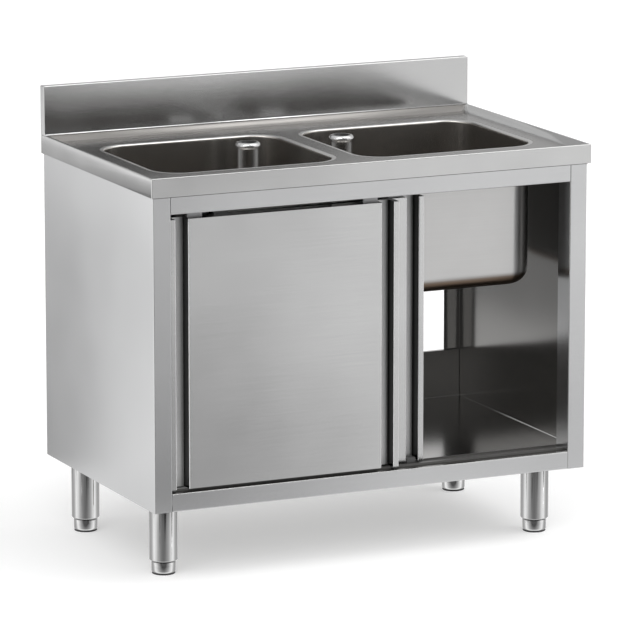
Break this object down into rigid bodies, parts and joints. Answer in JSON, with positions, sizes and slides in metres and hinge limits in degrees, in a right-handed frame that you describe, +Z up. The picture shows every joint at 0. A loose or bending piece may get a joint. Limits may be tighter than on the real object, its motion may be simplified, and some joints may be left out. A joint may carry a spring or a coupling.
{
  "type": "double bowl sink unit with sliding doors",
  "caption": "Stainless steel catering sink unit: two deep bowls with standpipes, a splashback, a cupboard with sliding doors and levelling feet.",
  "frame": {"origin": "on the floor, midway between the ends and midway between the front and back edges of the worktop", "axes": "+Z up, +X to the right of someone standing at the front, front towards -Y"},
  "size_m": [1, 0.6, 0.955],
  "materials": {
    "worktop_steel": "fine satin grain along the length",
    "bowl_steel": "smooth deep-drawn satin",
    "panel_steel": "fine satin grain",
    "inner_steel": "plain mill sheet",
    "door_steel": "fine satin grain across the door",
    "track_aluminium": "extruded, black anodised",
    "zinc_plated_steel": "bright zinc plate",
    "roller_plastic": "moulded nylon",
    "shoe_plastic": "moulded nylon, dark grey",
    "guide_plastic": "extruded, black",
    "stop_rubber": "plain rubber",
    "seal_rubber": "plain rubber",
    "waste_steel": "turned",
    "nut_plastic": "moulded",
    "pipe_steel": "polished tube",
    "leg_steel": "polished round tube",
    "pad_rubber": "moulded pad"
  },
  "bodies": {
    "cabinet": {"back_panel_lower": "inner_steel", "back_top_rail": "inner_steel", "bottom_shelf": "panel_steel", "bowl_left": "bowl_steel", "bowl_right": "bowl_steel", "door_guide_rail": "guide_plastic", "door_track": "track_aluminium", "front_top_rail": "panel_steel", "leg_bolts": "zinc_plated_steel", "leg_plate_back_left": "inner_steel", "leg_plate_back_right": "inner_steel", "leg_plate_front_left": "inner_steel", "leg_plate_front_right": "inner_steel", "leg_tube_back_left": "leg_steel", "leg_tube_back_right": "leg_steel", "leg_tube_front_left": "leg_steel", "leg_tube_front_right": "leg_steel", "shelf_stiffener_back": "inner_steel", "shelf_stiffener_front": "inner_steel", "side_panel_left": "panel_steel", "side_panel_right": "panel_steel", "splashback": "worktop_steel", "track_screws": "zinc_plated_steel", "track_stops": "stop_rubber", "waste_body_left": "waste_steel", "waste_body_right": "waste_steel", "waste_nut_left": "nut_plastic", "waste_nut_right": "nut_plastic", "waste_seal_left": "seal_rubber", "waste_seal_right": "seal_rubber", "worktop": "worktop_steel", "worktop_brace": "inner_steel"},
    "door_front": {"door_front_skin": "door_steel", "door_front_liner": "inner_steel", "axles_front": "zinc_plated_steel", "guide_shoes_front": "shoe_plastic", "hanger_front_left": "zinc_plated_steel", "hanger_front_right": "zinc_plated_steel"},
    "door_rear": {"door_rear_skin": "door_steel", "door_rear_liner": "inner_steel", "axles_rear": "zinc_plated_steel", "guide_shoes_rear": "shoe_plastic", "hanger_rear_left": "zinc_plated_steel", "hanger_rear_right": "zinc_plated_steel"},
    "roller_front_left": {"roller_front_left": "roller_plastic"},
    "roller_front_right": {"roller_front_right": "roller_plastic"},
    "roller_rear_left": {"roller_rear_left": "roller_plastic"},
    "roller_rear_right": {"roller_rear_right": "roller_plastic"},
    "standpipe_left": {"standpipe_left": "pipe_steel", "standpipe_seal_left": "seal_rubber"},
    "standpipe_right": {"standpipe_right": "pipe_steel", "standpipe_seal_right": "seal_rubber"},
    "foot_front_left": {"foot_front_left": "leg_steel", "foot_pad_front_left": "pad_rubber"},
    "foot_front_right": {"foot_front_right": "leg_steel", "foot_pad_front_right": "pad_rubber"},
    "foot_back_left": {"foot_back_left": "leg_steel", "foot_pad_back_left": "pad_rubber"},
    "foot_back_right": {"foot_back_right": "leg_steel", "foot_pad_back_right": "pad_rubber"}
  },
  "joints": [
    {"name": "door_front_slide", "type": "slide", "parent": "cabinet", "child": "door_front", "axis": [1, 0, 0], "range_m": [0, 0.391]},
    {"name": "door_rear_slide", "type": "slide", "parent": "cabinet", "child": "door_rear", "axis": [1, 0, 0], "range_m": [-0.072, 0.318]},
    {"name": "roller_front_left_spin", "type": "hinge", "parent": "door_front", "child": "roller_front_left", "pos_m": [-0.39325, -0.275, 0.7867], "axis": [0, 1, 0], "range_deg": [-15, 2255]},
    {"name": "roller_front_right_spin", "type": "hinge", "parent": "door_front", "child": "roller_front_right", "pos_m": [0.00175, -0.275, 0.7867], "axis": [0, 1, 0], "range_deg": [-15, 2255]},
    {"name": "roller_rear_left_spin", "type": "hinge", "parent": "door_rear", "child": "roller_rear_left", "pos_m": [-0.32075, -0.243, 0.7867], "axis": [0, 1, 0], "range_deg": [-435, 1840]},
    {"name": "roller_rear_right_spin", "type": "hinge", "parent": "door_rear", "child": "roller_rear_right", "pos_m": [0.07425, -0.243, 0.7867], "axis": [0, 1, 0], "range_deg": [-435, 1840]},
    {"name": "standpipe_left_lift", "type": "slide", "parent": "cabinet", "child": "standpipe_left", "axis": [0, 0, 1], "range_m": [0, 0.32]},
    {"name": "standpipe_right_lift", "type": "slide", "parent": "cabinet", "child": "standpipe_right", "axis": [0, 0, 1], "range_m": [0, 0.32]},
    {"name": "foot_front_left_screw", "type": "slide", "parent": "cabinet", "child": "foot_front_left", "axis": [0, 0, -1], "range_m": [0, 0.04]},
    {"name": "foot_front_right_screw", "type": "slide", "parent": "cabinet", "child": "foot_front_right", "axis": [0, 0, -1], "range_m": [0, 0.04]},
    {"name": "foot_back_left_screw", "type": "slide", "parent": "cabinet", "child": "foot_back_left", "axis": [0, 0, -1], "range_m": [0, 0.04]},
    {"name": "foot_back_right_screw", "type": "slide", "parent": "cabinet", "child": "foot_back_right", "axis": [0, 0, -1], "range_m": [0, 0.04]}
  ],
  "couplings": [
    {"joint": "roller_front_left_spin", "follows": "door_front_slide", "rad_per_m": 100},
    {"joint": "roller_front_right_spin", "follows": "door_front_slide", "rad_per_m": 100},
    {"joint": "roller_rear_left_spin", "follows": "door_rear_slide", "rad_per_m": 100},
    {"joint": "roller_rear_right_spin", "follows": "door_rear_slide", "rad_per_m": 100}
  ]
}
